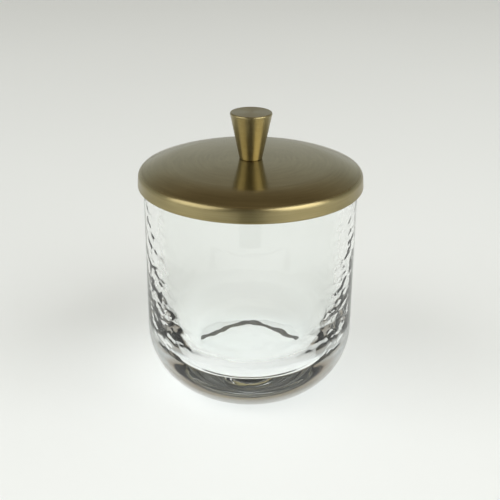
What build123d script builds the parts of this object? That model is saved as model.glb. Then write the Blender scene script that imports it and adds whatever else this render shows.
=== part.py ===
"""Lidded dappen dish: a heavy clear glass jar with a loose, domed brass lid and a turned brass knob.

Millimetres, +Z up. The origin is on the jar's axis, on the surface that the jar stands on.
Nearly every shape is round about Z: a half section in the XZ plane, revolved about that axis.
"""

from build123d import *
from math import asin, cos, degrees, radians, sin, sqrt, tan
import os

# --- Driving dimensions -------------------------------------------------------------------

# Glass jar
jar_radius = 28.5          # outside of the straight wall
skirt_bottom_z = 56.9      # height of the lid's lower edge when the jar is closed
floor_thickness = 7.8      # glass under the middle of the cavity
dish_radius = 95.0         # the cavity's gently dished floor
dish_turn = 7.3            # degrees that the floor has risen to at its edge
corner_radius = 12.5       # rounding from the floor up into the wall
corner_turn = 76.6         # degrees of slope at the end of that rounding
wall_curve = 64.0          # the wall's lower part, which bellies out up to the straight part
wall_draft = 0.4           # degrees that the straight part leans out towards the mouth
rim_round = 1.2            # rounding on both edges of the rim
heel_radius = 19.0         # large rounding between the outer wall and the base
heel_angle = 54.0          # degrees that the large rounding turns through
foot_radius = 3.0          # tighter rounding that finishes the turn into the flat underside
recess_corners = [(0.0, 15.5), (-15.2, 0.2), (15.2, 0.2)]  # core of the three-cornered recess under it
recess_margin = 3.2        # from the core out to the recess's edge
recess_slope = 3.0         # width of the recess's sloping side
recess_depth = 1.5

# Lid shell, one sheet of brass
lid_radius = 30.0          # outside of the turned-down skirt, at its lower edge
lid_gauge = 0.9            # thickness of the sheet
crown_flat = 3.6           # radius of the flat that the knob and its washer sit on
dome_radius = 180.0        # the nearly flat middle of the dome
shoulder_start = 21.0      # distance from the axis where the dome starts to round down
shoulder_turn = 23.0       # degrees that the dome falls by at its edge
skirt_bend = 1.6           # outside radius of the bend between dome and skirt
skirt_rise = 2.75          # height of the skirt's straight part
skirt_lean = 4.0           # degrees that the skirt flares outwards towards its lower edge
hem_round = 0.35           # rounding on the skirt's lower edge

# Seal ring under the lid
seal_outer = 28.2
seal_inner = 25.2
seal_edge = 1.1            # thickness of the seal at its outer edge
seal_gap = 0.05            # clearance over and under the seal
seal_round = 0.25

# Knob and the screw that holds it
knob_foot = 3.0
knob_top = 5.6
knob_height = 12.45
knob_top_round = 0.35
knob_foot_round = 0.25
thread_radius = 1.5
thread_gap = 0.02          # between the screw's plain shank and the hole it is in
tapped_depth = 8.0
lid_hole = 1.65
washer_radius = 3.4
washer_gauge = 0.5
washer_round = 0.12
head_radius = 2.7
head_height = 1.7
head_round = 0.6
shank_length = 7.0         # under the head
socket_across = 2.0        # hexagon socket, across its flats
socket_depth = 1.0

os.makedirs("parts", exist_ok=True)

# --- Glass jar ----------------------------------------------------------------------------

dome_slope = asin((shoulder_start - crown_flat) / dome_radius)
dome_turn = degrees(dome_slope)
edge_slope = radians(shoulder_turn)
lean = radians(skirt_lean)
shoulder_end_r = lid_radius - skirt_rise * tan(lean) - skirt_bend * (cos(lean) - sin(edge_slope))
shoulder_end_z = skirt_bottom_z + skirt_rise + skirt_bend * (cos(edge_slope) - sin(lean))
shoulder_radius = (shoulder_end_r - shoulder_start) / (sin(edge_slope) - sin(dome_slope))
shoulder_centre_r = shoulder_end_r - shoulder_radius * sin(edge_slope)
shoulder_centre_z = shoulder_end_z - shoulder_radius * cos(edge_slope)
crown_z = shoulder_centre_z + shoulder_radius * cos(dome_slope) + dome_radius * (1 - cos(dome_slope))


def shoulder_face(radius, depth):
    """Height, at a distance from the axis, of the surface that lies a depth under the shoulder."""
    return shoulder_centre_z + sqrt((shoulder_radius - depth) ** 2 - (radius - shoulder_centre_r) ** 2)


seal_depth = lid_gauge + seal_gap
seal_bottom_z = shoulder_face(seal_outer, seal_depth) - seal_edge
rim_z = seal_bottom_z - seal_gap

heel = radians(heel_angle)
draft = radians(wall_draft)
wall_foot_z = heel_radius * sin(heel) + foot_radius * (1 - sin(heel))
lip_z = rim_z - rim_round * (1 - sin(draft))

with BuildPart() as glass_jar:
    with BuildSketch(Plane.XZ):
        with BuildLine():
            outer_wall = Line((jar_radius, rim_z - rim_round), (jar_radius, wall_foot_z))
            heel_arc = JernArc(outer_wall @ 1, (0, -1), heel_radius, -heel_angle)
            foot_arc = JernArc(heel_arc @ 1, heel_arc % 1, foot_radius, heel_angle - 90)
            underside = Line(foot_arc @ 1, (0, 0))
            axis = Line(underside @ 1, (0, floor_thickness))
            dish = JernArc(axis @ 1, (1, 0), dish_radius, dish_turn)
            corner = JernArc(dish @ 1, dish % 1, corner_radius, corner_turn - dish_turn)
            belly = JernArc(corner @ 1, corner % 1, wall_curve, 90 - wall_draft - corner_turn)
            wall_rise = lip_z - (belly @ 1).Y
            cavity_wall = Line(belly @ 1, belly @ 1 + (wall_rise * tan(draft), wall_rise))
            lip = JernArc(cavity_wall @ 1, cavity_wall % 1, rim_round, wall_draft - 90)
            rim = Line(lip @ 1, (jar_radius - rim_round, rim_z))
            rim_edge = JernArc(rim @ 1, (1, 0), rim_round, -90)
        make_face()
    revolve(axis=Axis.Z)
    with BuildSketch() as recess_edge:
        Polygon(*recess_corners, align=None)
        offset(amount=recess_margin)
    with BuildSketch(Plane.XY.offset(recess_depth)) as recess_top:
        Polygon(*recess_corners, align=None)
        offset(amount=recess_margin - recess_slope)
    loft(mode=Mode.SUBTRACT)
glass_jar.part.label = "glass_jar"
export_step(glass_jar.part, "parts/glass_jar.step")

# --- Lid shell: flat crown, dome, shoulder, bend and skirt --------------------------------

under_crown_z = crown_z - lid_gauge
inner_skirt = lid_radius - lid_gauge / cos(lean)

with BuildPart() as lid_shell:
    with BuildSketch(Plane.XZ):
        with BuildLine():
            crown = Line((lid_hole, crown_z), (crown_flat, crown_z))
            dome = JernArc(crown @ 1, (1, 0), dome_radius, -dome_turn)
            shoulder = JernArc(dome @ 1, dome % 1, shoulder_radius, dome_turn - shoulder_turn)
            bend = JernArc(shoulder @ 1, shoulder % 1, skirt_bend, shoulder_turn + skirt_lean - 90)
            skirt = Line(bend @ 1, (lid_radius, skirt_bottom_z))
            hem = Line(skirt @ 1, (inner_skirt, skirt_bottom_z))
            under_crown = Line((lid_hole, under_crown_z), (crown_flat, under_crown_z))
            under_dome = JernArc(under_crown @ 1, (1, 0), dome_radius - lid_gauge, -dome_turn)
            under_shoulder = JernArc(
                under_dome @ 1, under_dome % 1, shoulder_radius - lid_gauge, dome_turn - shoulder_turn
            )
            under_bend = JernArc(
                under_shoulder @ 1,
                under_shoulder % 1,
                skirt_bend - lid_gauge,
                shoulder_turn + skirt_lean - 90,
            )
            skirt_inside = Line(under_bend @ 1, hem @ 1)
            hole = Line(under_crown @ 0, crown @ 0)
        make_face()
    revolve(axis=Axis.Z)
    fillet(lid_shell.edges().group_by(Axis.Z)[0], hem_round)
lid_shell.part.label = "lid_shell"
export_step(lid_shell.part, "parts/lid_shell.step")

# --- Seal ring: flat on the glass rim, its upper face following the shoulder --------------

with BuildPart() as lid_seal:
    with BuildSketch(Plane.XZ):
        with BuildLine():
            seal_top = RadiusArc(
                (seal_inner, shoulder_face(seal_inner, seal_depth)),
                (seal_outer, shoulder_face(seal_outer, seal_depth)),
                shoulder_radius - seal_depth,
            )
            seal_side = Line(seal_top @ 1, (seal_outer, seal_bottom_z))
            seal_base = Line(seal_side @ 1, (seal_inner, seal_bottom_z))
            seal_bore = Line(seal_base @ 1, seal_top @ 0)
        make_face()
    revolve(axis=Axis.Z)
    fillet(lid_seal.edges().group_by(Axis.Z)[0], seal_round)
lid_seal.part.label = "lid_seal"
export_step(lid_seal.part, "parts/lid_seal.step")

# --- Knob: a cone standing on its narrow end, drilled from below for the screw -------------

with BuildPart() as knob:
    with BuildSketch(Plane.XZ):
        with BuildLine():
            Polyline(
                (0, crown_z),
                (knob_foot, crown_z),
                (knob_top, crown_z + knob_height),
                (0, crown_z + knob_height),
                close=True,
            )
        make_face()
    revolve(axis=Axis.Z)
    fillet(knob.edges().group_by(Axis.Z)[-1], knob_top_round)
    fillet(knob.edges().group_by(Axis.Z)[0], knob_foot_round)
    with Locations(Location((0, 0, crown_z), (180, 0, 0))):
        Hole(thread_radius + thread_gap, depth=tapped_depth)
knob.part.label = "knob"
export_step(knob.part, "parts/knob.step")

# --- Washer and screw under the crown -----------------------------------------------------

washer_z = under_crown_z - washer_gauge

with BuildPart() as knob_washer:
    with BuildSketch(Plane.XY.offset(washer_z)):
        Circle(washer_radius)
        Circle(lid_hole, mode=Mode.SUBTRACT)
    extrude(amount=washer_gauge)
    fillet(knob_washer.edges().group_by(Axis.Z)[0].sort_by(SortBy.RADIUS)[-1], washer_round)
knob_washer.part.label = "knob_washer"
export_step(knob_washer.part, "parts/knob_washer.step")

head_z = washer_z - head_height

with BuildPart() as knob_screw:
    with BuildSketch(Plane.XY.offset(head_z)):
        Circle(head_radius)
    extrude(amount=head_height)
    fillet(knob_screw.edges().group_by(Axis.Z)[0], head_round)
    with BuildSketch(Plane.XY.offset(washer_z)):
        Circle(thread_radius)
    extrude(amount=shank_length)
    chamfer(knob_screw.edges().group_by(Axis.Z)[-1], thread_radius / 5)
    with BuildSketch(Plane.XY.offset(head_z)):
        RegularPolygon(socket_across / 2, 6, major_radius=False)
    extrude(amount=socket_depth, mode=Mode.SUBTRACT)
knob_screw.part.label = "knob_screw"
export_step(knob_screw.part, "parts/knob_screw.step")
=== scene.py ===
"""Looks of the lidded dappen dish: clear pressed glass, antique brass lid and knob, seal and screw.

Metres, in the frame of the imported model: +Z up, origin under the jar on its axis.
"""
import math

import bpy
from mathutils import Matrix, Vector, noise


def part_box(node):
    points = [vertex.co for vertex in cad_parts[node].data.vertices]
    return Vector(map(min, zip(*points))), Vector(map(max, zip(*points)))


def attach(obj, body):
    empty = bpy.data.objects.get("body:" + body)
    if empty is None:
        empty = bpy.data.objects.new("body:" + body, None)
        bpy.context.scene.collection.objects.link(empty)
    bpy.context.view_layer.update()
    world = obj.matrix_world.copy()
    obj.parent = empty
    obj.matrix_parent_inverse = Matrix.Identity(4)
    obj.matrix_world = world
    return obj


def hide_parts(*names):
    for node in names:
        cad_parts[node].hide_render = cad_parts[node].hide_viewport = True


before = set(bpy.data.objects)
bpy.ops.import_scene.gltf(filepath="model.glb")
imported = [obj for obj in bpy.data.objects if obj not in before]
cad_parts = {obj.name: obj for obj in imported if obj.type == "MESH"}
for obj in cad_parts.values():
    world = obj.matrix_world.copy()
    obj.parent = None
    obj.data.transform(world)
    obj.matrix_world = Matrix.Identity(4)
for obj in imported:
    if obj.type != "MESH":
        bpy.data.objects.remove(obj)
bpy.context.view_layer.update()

MM = 0.001

# --- Jar's section, in millimetres, as the CAD model has it ---------------------------------

GLASS_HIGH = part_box("glass_jar")[1]
LID_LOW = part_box("lid_shell")[0]
JAR_RADIUS = GLASS_HIGH.x / MM
RIM_Z = GLASS_HIGH.z / MM
RIM_ROUND = 1.2
FLOOR = 7.8                          # glass under the middle of the cavity
DISH_RADIUS = 95.0                   # the floor's gentle dish
DISH_TURN = math.radians(7.3)
CORNER_RADIUS = 12.5                 # from the floor up into the wall
CORNER_TURN = math.radians(76.6)
WALL_CURVE = 64.0                    # the wall's lower part, up to its straight part
WALL_DRAFT = math.radians(0.4)
HEEL_RADIUS = 19.0
HEEL_ANGLE = math.radians(54.0)
FOOT_RADIUS = 3.0
RECESS_DEPTH = 1.5                   # three-cornered recess moulded into the underside
RECESS_MARGIN = 3.2
RECESS_SLOPE = 3.0
RECESS_CORNERS = ((0.0, 15.5), (-15.2, 0.2), (15.2, 0.2))
RECESS_WANDER = 0.3                  # how far the recess's edge may stray

TURNS = 320                          # points round the jar

# Chill ripples on the cavity's wall, as depths in millimetres
RIPPLE_ALL_ROUND = 0.015
RIPPLE_LOW_DOWN = 0.03               # added towards the floor
SEAM_RIPPLE = 0.06                   # added along the seams
SEAM_RIPPLE_LOW_DOWN = 0.34          # added along the seams towards the floor


def arc(centre, radius, start, end, steps):
    """Points of an arc in the section, leaving out its first point. Angles in radians from +r."""
    cr, cz = centre
    return [
        (cr + radius * math.cos(a), cz + radius * math.sin(a))
        for a in (start + (end - start) * i / steps for i in range(1, steps + 1))
    ]


def line(start, end, steps):
    """Points of a straight stretch, leaving out its first point."""
    return [
        (start[0] + (end[0] - start[0]) * i / steps, start[1] + (end[1] - start[1]) * i / steps)
        for i in range(1, steps + 1)
    ]


def rising_arc(start, radius, from_turn, to_turn, steps):
    """Arc that goes on from a point of the cavity, its slope growing from one turn to the other."""
    centre = (start[0] - radius * math.sin(from_turn), start[1] + radius * math.cos(from_turn))
    return arc(centre, radius, from_turn - math.pi / 2, to_turn - math.pi / 2, steps)


def cavity_section():
    """The cavity's half section from the middle of its floor up to the lip."""
    points = rising_arc((0.0, FLOOR), DISH_RADIUS, 0.0, DISH_TURN, 8)
    points += rising_arc(points[-1], CORNER_RADIUS, DISH_TURN, CORNER_TURN, 42)
    points += rising_arc(points[-1], WALL_CURVE, CORNER_TURN, math.pi / 2 - WALL_DRAFT, 40)
    lip_z = RIM_Z - RIM_ROUND * (1 - math.sin(WALL_DRAFT))
    r, z = points[-1]
    points += line((r, z), (r + (lip_z - z) * math.tan(WALL_DRAFT), lip_z), 74)
    return points


def jar_section():
    """The jar's half section, out under it, up, over the rim and down the cavity.

    Also gives the number of points that come before the cavity.
    """
    quarter = math.pi / 2
    heel_z = HEEL_RADIUS * math.sin(HEEL_ANGLE) + FOOT_RADIUS * (1 - math.sin(HEEL_ANGLE))
    foot_r = JAR_RADIUS - HEEL_RADIUS + (HEEL_RADIUS - FOOT_RADIUS) * math.cos(HEEL_ANGLE)
    points = line((0.0, 0.0), (foot_r, 0.0), 58)
    points += arc((foot_r, FOOT_RADIUS), FOOT_RADIUS, -quarter, -HEEL_ANGLE, 8)
    points += arc((JAR_RADIUS - HEEL_RADIUS, heel_z), HEEL_RADIUS, -HEEL_ANGLE, 0.0, 40)
    points += line((JAR_RADIUS, heel_z), (JAR_RADIUS, RIM_Z - RIM_ROUND), 12)
    points += arc((JAR_RADIUS - RIM_ROUND, RIM_Z - RIM_ROUND), RIM_ROUND, 0.0, quarter, 7)
    cavity = cavity_section()
    mouth = cavity[-1][0]
    lip_centre = (mouth + RIM_ROUND * math.cos(WALL_DRAFT), RIM_Z - RIM_ROUND)
    points += line((JAR_RADIUS - RIM_ROUND, RIM_Z), (lip_centre[0], RIM_Z), 3)
    points += arc(lip_centre, RIM_ROUND, quarter, math.pi - WALL_DRAFT, 7)
    outside = len(points)
    return points + cavity[-2::-1], outside


def smooth(value, low, high):
    """0 below low, 1 above high, and an S-curve between them."""
    t = min(1.0, max(0.0, (value - low) / (high - low)))
    return t * t * (3 - 2 * t)


def to_triangle(x, y):
    """Distance from a point to the recess's three-cornered core, 0 inside it."""
    corners = RECESS_CORNERS
    inside = True
    nearest = 1e9
    for (ax, ay), (bx, by) in zip(corners, corners[1:] + corners[:1]):
        ex, ey = bx - ax, by - ay
        t = min(1.0, max(0.0, ((x - ax) * ex + (y - ay) * ey) / (ex * ex + ey * ey)))
        nearest = min(nearest, math.hypot(x - ax - t * ex, y - ay - t * ey))
        inside = inside and ex * (y - ay) - ey * (x - ax) > 0
    return 0.0 if inside else nearest


def recess(x, y):
    """Height of the recess above the surface that the jar stands on."""
    edge = to_triangle(x, y) + RECESS_WANDER * noise.noise(Vector((x * 0.35, y * 0.35, 4.0)))
    return RECESS_DEPTH * min(1.0, max(0.0, (RECESS_MARGIN - edge) / RECESS_SLOPE))


def ripple(angle, z):
    """How far the cavity's wall stands in. Ripples run down its two seams, stronger towards the floor."""
    c, s = math.cos(angle), math.sin(angle)
    side = smooth(abs(c), 0.76, 0.88) * (1 - smooth(abs(c), 0.965, 0.99))
    by_seam = side * smooth(-s, 0.0, 0.2)
    depth = RIPPLE_ALL_ROUND + RIPPLE_LOW_DOWN * (1 - smooth(z, 14.0, 44.0))
    depth += by_seam * (SEAM_RIPPLE + SEAM_RIPPLE_LOW_DOWN * (1 - smooth(z, 16.0, 46.0)))
    depth *= smooth(z, 8.0, 13.0) * (1 - 0.7 * smooth(z, 46.0, 56.0))
    coarse = noise.noise(Vector((6.0 * c, 6.0 * s, z / 2.4)))
    fine = noise.noise(Vector((14.0 * c, 14.0 * s, 20 + z / 1.3)))
    return depth * (coarse + 0.5 * fine)


def build_jar():
    """The glass as one closed mesh: the section turned about Z, with the ripples and the recess in it."""
    section, outside = jar_section()
    verts = [(0.0, 0.0, recess(0.0, 0.0) * MM)]
    for k, (r, z) in enumerate(section):
        for j in range(TURNS):
            a = 2 * math.pi * j / TURNS
            q = r - ripple(a, z) if k >= outside else r
            x, y = q * math.cos(a), q * math.sin(a)
            height = recess(x, y) if z == 0.0 else z
            verts.append((x * MM, y * MM, height * MM))
    verts.append((0.0, 0.0, FLOOR * MM))
    last = len(verts) - 1
    faces = [(0, 1 + (j + 1) % TURNS, 1 + j) for j in range(TURNS)]
    for k in range(len(section) - 1):
        a, b = 1 + k * TURNS, 1 + (k + 1) * TURNS
        faces += [(a + j, a + (j + 1) % TURNS, b + (j + 1) % TURNS, b + j) for j in range(TURNS)]
    a = 1 + (len(section) - 1) * TURNS
    faces += [(a + j, a + (j + 1) % TURNS, last) for j in range(TURNS)]
    mesh = bpy.data.meshes.new("jar_glass")
    mesh.from_pydata(verts, [], faces)
    mesh.polygons.foreach_set("use_smooth", [True] * len(mesh.polygons))
    mesh.update()
    jar = bpy.data.objects.new("jar_glass", mesh)
    bpy.context.scene.collection.objects.link(jar)
    return jar


# --- Materials ------------------------------------------------------------------------------

def new_material(name):
    material = bpy.data.materials.new(name)
    material.use_nodes = True
    tree = material.node_tree
    tree.nodes.clear()
    output = tree.nodes.new("ShaderNodeOutputMaterial")
    shader = tree.nodes.new("ShaderNodeBsdfPrincipled")
    tree.links.new(shader.outputs["BSDF"], output.inputs["Surface"])
    return material, tree, shader


def maths(tree, operation, a, b=None):
    """A Math node on sockets or numbers."""
    node = tree.nodes.new("ShaderNodeMath")
    node.operation = operation
    for socket, value in zip(node.inputs, (a, b)):
        if isinstance(value, (int, float)):
            socket.default_value = value
        elif value is not None:
            tree.links.new(value, socket)
    return node.outputs[0]


def noise_texture(tree, vector, scale, detail=2.0, roughness=0.5):
    node = tree.nodes.new("ShaderNodeTexNoise")
    node.inputs["Scale"].default_value = scale
    node.inputs["Detail"].default_value = detail
    node.inputs["Roughness"].default_value = roughness
    tree.links.new(vector, node.inputs["Vector"])
    return node.outputs["Fac"]


def ramp(tree, value, stops):
    """A linear ramp of colours, or of grey levels where a stop's colour is one number."""
    node = tree.nodes.new("ShaderNodeValToRGB")
    elements = node.color_ramp.elements
    while len(elements) < len(stops):
        elements.new(0.5)
    for element, (place, colour) in zip(elements, stops):
        element.position = place
        element.color = (*colour, 1) if isinstance(colour, tuple) else (colour, colour, colour, 1)
    tree.links.new(value, node.inputs["Fac"])
    return node.outputs["Color"]


def spread(tree, value, low, high, to_low, to_high):
    """Maps low..high onto to_low..to_high, and holds the ends."""
    node = tree.nodes.new("ShaderNodeMapRange")
    for name, number in (("From Min", low), ("From Max", high), ("To Min", to_low), ("To Max", to_high)):
        node.inputs[name].default_value = number
    tree.links.new(value, node.inputs["Value"])
    return node.outputs[0]


def bump(tree, shader, height, distance, strength):
    node = tree.nodes.new("ShaderNodeBump")
    node.inputs["Strength"].default_value = strength
    node.inputs["Distance"].default_value = distance
    tree.links.new(height, node.inputs["Height"])
    tree.links.new(node.outputs["Normal"], shader.inputs["Normal"])


def object_place(tree):
    return tree.nodes.new("ShaderNodeTexCoord").outputs["Object"]


def turned_place(tree, around, across):
    """Coordinates that run round the Z axis, so that a noise in them is drawn out into turning marks."""
    split = tree.nodes.new("ShaderNodeSeparateXYZ")
    tree.links.new(object_place(tree), split.inputs[0])
    x, y, z = split.outputs
    square = maths(tree, "ADD", maths(tree, "MULTIPLY", x, x), maths(tree, "MULTIPLY", y, y))
    radius = maths(tree, "SQRT", square)
    safe = maths(tree, "MAXIMUM", radius, 1e-5)
    join = tree.nodes.new("ShaderNodeCombineXYZ")
    tree.links.new(maths(tree, "MULTIPLY", maths(tree, "DIVIDE", x, safe), around), join.inputs[0])
    tree.links.new(maths(tree, "MULTIPLY", maths(tree, "DIVIDE", y, safe), around), join.inputs[1])
    tree.links.new(maths(tree, "MULTIPLY", maths(tree, "SUBTRACT", radius, z), across), join.inputs[2])
    return join.outputs[0]


def glass_material():
    """Clear glass with a faint green cast that clouds a little from place to place."""
    material, tree, shader = new_material("clear_glass")
    cloud = noise_texture(tree, object_place(tree), 45.0, 3.0)
    tree.links.new(ramp(tree, cloud, [(0.3, (0.978, 0.994, 0.984)), (0.7, (0.99, 0.999, 0.994))]),
                   shader.inputs["Base Color"])
    shader.inputs["Transmission Weight"].default_value = 1.0
    shader.inputs["IOR"].default_value = 1.52
    shader.inputs["Roughness"].default_value = 0.0
    return material


BRASS_TONES = [(0.0, (0.21, 0.168, 0.07)), (0.5, (0.32, 0.265, 0.128)), (1.0, (0.43, 0.37, 0.195))]
SKIRT_TOP = LID_LOW.z + 0.0044       # where the lid's brushing turns coarser, over the bend


def brass_material(name, rough, mark_scale, contrast, relief, skirt_top=None):
    """Antique brass under thin lacquer, brushed round its axis, and more coarsely below skirt_top."""
    material, tree, shader = new_material(name)
    fine = noise_texture(tree, turned_place(tree, 1.6, mark_scale), 1.0, 3.0, 0.6)
    broad = noise_texture(tree, turned_place(tree, 2.4, mark_scale / 7), 1.0, 2.0)
    patina = noise_texture(tree, object_place(tree), 90.0, 4.0)
    marks = maths(tree, "ADD", maths(tree, "MULTIPLY", fine, 0.6), maths(tree, "MULTIPLY", broad, 0.4))
    tone = maths(tree, "ADD", maths(tree, "MULTIPLY", marks, 0.75), maths(tree, "MULTIPLY", patina, 0.25))
    reach = 0.25 / contrast
    colour = ramp(tree, spread(tree, tone, 0.5 - reach, 0.5 + reach, 0.0, 1.0), BRASS_TONES)
    tree.links.new(colour, shader.inputs["Base Color"])
    roughness = spread(tree, fine, 0.3, 0.7, rough - 0.03, rough + 0.04)
    if skirt_top is not None:
        split = tree.nodes.new("ShaderNodeSeparateXYZ")
        tree.links.new(object_place(tree), split.inputs[0])
        on_skirt = spread(tree, split.outputs[2], skirt_top - 0.0012, skirt_top, 1.0, 0.0)
        coarser = spread(tree, fine, 0.3, 0.7, 0.32, 0.48)
        lift = maths(tree, "MULTIPLY", on_skirt, maths(tree, "SUBTRACT", coarser, roughness))
        roughness = maths(tree, "ADD", roughness, lift)
    tree.links.new(roughness, shader.inputs["Roughness"])
    shader.inputs["Metallic"].default_value = 1.0
    shader.inputs["Anisotropic"].default_value = 0.6
    shader.inputs["Anisotropic Rotation"].default_value = 0.25
    tangent = tree.nodes.new("ShaderNodeTangent")
    tangent.direction_type = "RADIAL"
    tangent.axis = "Z"
    tree.links.new(tangent.outputs[0], shader.inputs["Tangent"])
    shader.inputs["Coat Weight"].default_value = 0.2
    shader.inputs["Coat Roughness"].default_value = 0.12
    bump(tree, shader, fine, 0.00001, relief)
    return material


def rubber_material():
    material, tree, shader = new_material("seal_silicone")
    mottle = noise_texture(tree, object_place(tree), 900.0, 3.0)
    tree.links.new(ramp(tree, mottle, [(0.35, (0.035, 0.038, 0.03)), (0.7, (0.06, 0.062, 0.05))]),
                   shader.inputs["Base Color"])
    shader.inputs["Roughness"].default_value = 0.45
    bump(tree, shader, mottle, 0.00003, 0.4)
    return material


def steel_material(name, streak_scale):
    material, tree, shader = new_material(name)
    marks = noise_texture(tree, turned_place(tree, 1.5, streak_scale), 1.0, 3.0)
    tree.links.new(ramp(tree, marks, [(0.3, (0.42, 0.42, 0.41)), (0.7, (0.62, 0.61, 0.59))]),
                   shader.inputs["Base Color"])
    tree.links.new(spread(tree, marks, 0.3, 0.7, 0.22, 0.36), shader.inputs["Roughness"])
    shader.inputs["Metallic"].default_value = 1.0
    bump(tree, shader, marks, 0.00002, 0.4)
    return material


def plain_material(name, colour, rough):
    material, _, shader = new_material(name)
    shader.inputs["Base Color"].default_value = (*colour, 1)
    shader.inputs["Roughness"].default_value = rough
    return material


def floor_material():
    material, tree, shader = new_material("floor")
    cloud = noise_texture(tree, object_place(tree), 3.0, 2.0)
    tree.links.new(ramp(tree, cloud, [(0.3, (0.83, 0.86, 0.85)), (0.7, (0.845, 0.875, 0.865))]),
                   shader.inputs["Base Color"])
    shader.inputs["Roughness"].default_value = 0.6
    shader.inputs["Specular IOR Level"].default_value = 0.0
    return material


def dress(node, material):
    """Gives a CAD node its material."""
    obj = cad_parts[node]
    obj.data.materials.clear()
    obj.data.materials.append(material)
    for p in obj.data.polygons:
        p.material_index = 0


jar = build_jar()
jar.data.materials.append(glass_material())
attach(jar, "jar")
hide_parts("glass_jar")

dress("lid_shell", brass_material("lid_brass", 0.17, 9000, 0.8, 0.3, SKIRT_TOP))
dress("knob", brass_material("knob_brass", 0.36, 9000, 0.6, 0.1))
dress("lid_seal", rubber_material())
dress("knob_washer", steel_material("washer_steel", 3000))
dress("knob_screw", steel_material("screw_steel", 3000))

# --- Floor ----------------------------------------------------------------------------------

FLOOR_HALF = 8.0
AIR_GAP = 0.00005                    # under the glass, so that it reflects at its underside


def sheet(name, corners, material):
    """One flat four-cornered face."""
    mesh = bpy.data.meshes.new(name)
    mesh.from_pydata(corners, [], [(0, 1, 2, 3)])
    obj = bpy.data.objects.new(name, mesh)
    bpy.context.scene.collection.objects.link(obj)
    obj.data.materials.append(material)
    return obj


h = FLOOR_HALF
floor = sheet("floor", [(-h, -h, 0), (h, -h, 0), (h, h, 0), (-h, h, 0)], floor_material())
floor.location.z = -AIR_GAP

# --- Light ----------------------------------------------------------------------------------

def aimed(obj, target):
    """Turns a light to face a point."""
    obj.rotation_euler = (target - obj.location).to_track_quat("-Z", "Y").to_euler()


def softbox(name, azimuth, elevation, distance, width, height, radiance):
    """A soft rectangular light, not seen through glass. Azimuth 0 is the front, positive to its right."""
    data = bpy.data.lights.new(name, "AREA")
    data.shape = "RECTANGLE"
    data.size, data.size_y = width, height
    data.energy = radiance * math.pi * width * height
    obj = bpy.data.objects.new(name, data)
    a, e = math.radians(azimuth), math.radians(elevation)
    obj.location = Vector((math.sin(a) * math.cos(e), -math.cos(a) * math.cos(e), math.sin(e))) * distance
    bpy.context.scene.collection.objects.link(obj)
    aimed(obj, Vector((0, 0, 0.04)))
    obj.visible_transmission = False
    return obj


right_softbox = softbox("right_softbox", 56, 38, 2.0, 1.7, 1.7, 3.7)
left_softbox = softbox("left_softbox", -64, 36, 2.0, 1.7, 1.8, 2.2)
floor_fill = softbox("floor_fill", 0, 54, 0.43, 0.3, 0.3, 1.0)
floor_fill.visible_glossy = False

# The clear glass lets the two large lights through to the floor: only lid and knob shade it from them.
shadow_makers = bpy.data.collections.new("shadow_makers")
for node in ("lid_shell", "knob"):
    shadow_makers.objects.link(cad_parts[node])
for light in (right_softbox, left_softbox):
    light.light_linking.blocker_collection = shadow_makers


def black_flag(name, width, distance, low, high):
    """A dark card in front of the object that is only seen mirrored, as a camera is seen in real brass."""
    w, y = width / 2, -distance
    corners = [(-w, y, low), (w, y, low), (w, y, high), (-w, y, high)]
    flag = sheet(name, corners, plain_material(name, (0.03, 0.03, 0.03), 0.9))
    for ray in ("camera", "diffuse", "transmission", "volume_scatter", "shadow"):
        setattr(flag, "visible_" + ray, False)


black_flag("black_flag", 0.042, 0.12, 0.01, 0.052)


def world_light():
    """A small light tent, open at the front: bright behind the object near the horizon, dim overhead."""
    world = bpy.data.worlds.new("studio")
    bpy.context.scene.world = world
    world.use_nodes = True
    tree = world.node_tree
    tree.nodes.clear()
    output = tree.nodes.new("ShaderNodeOutputWorld")
    background = tree.nodes.new("ShaderNodeBackground")
    tree.links.new(background.outputs[0], output.inputs["Surface"])
    split = tree.nodes.new("ShaderNodeSeparateXYZ")
    tree.links.new(tree.nodes.new("ShaderNodeTexCoord").outputs["Generated"], split.inputs[0])
    _, y, z = split.outputs
    rear = ramp(tree, spread(tree, y, -1.0, 1.0, 0.0, 1.0),
                [(0.0, 0.14), (0.2, 0.19), (0.32, 0.5), (0.48, 0.72), (0.75, 0.6), (1.0, 0.62)])
    high = ramp(tree, z, [(0.0, 1.0), (0.1, 1.0), (0.36, 0.72), (0.6, 0.44), (0.8, 0.15), (1.0, 0.15)])
    ceiling = ramp(tree, z, [(0.0, 0.0), (0.5, 0.0), (0.9, 0.14), (1.0, 0.16)])
    tint = ramp(tree, z, [(0.35, (0.95, 1.0, 0.975)), (0.75, (1.0, 0.84, 0.62))])
    tree.links.new(tint, background.inputs["Color"])
    level = maths(tree, "ADD", maths(tree, "MULTIPLY", rear, high), ceiling)
    tree.links.new(level, background.inputs["Strength"])


world_light()

# --- Camera ---------------------------------------------------------------------------------

CAMERA_BACK = 0.2374                 # from the axis
CAMERA_OVER_SKIRT = 0.0842           # over the lid's lower edge
CAMERA_DOWN = 23.62                  # degrees
CAMERA_ROLL = 0.5

camera_data = bpy.data.cameras.new("camera")
camera = bpy.data.objects.new("camera", camera_data)
bpy.context.scene.collection.objects.link(camera)
camera_data.sensor_width = 36.0
camera_data.lens = 67.7
camera_data.clip_start = 0.01
camera.location = (0.0, -CAMERA_BACK, LID_LOW.z + CAMERA_OVER_SKIRT)
camera.rotation_euler = (math.radians(90 - CAMERA_DOWN), 0.0, 0.0)
camera.rotation_euler.rotate_axis("Z", math.radians(CAMERA_ROLL))
bpy.context.scene.camera = camera

# --- Colour and light paths -----------------------------------------------------------------

scene = bpy.context.scene
scene.view_settings.view_transform = "Standard"
scene.cycles.max_bounces = 24
scene.cycles.transmission_bounces = 24
scene.cycles.glossy_bounces = 8
scene.cycles.caustics_refractive = True
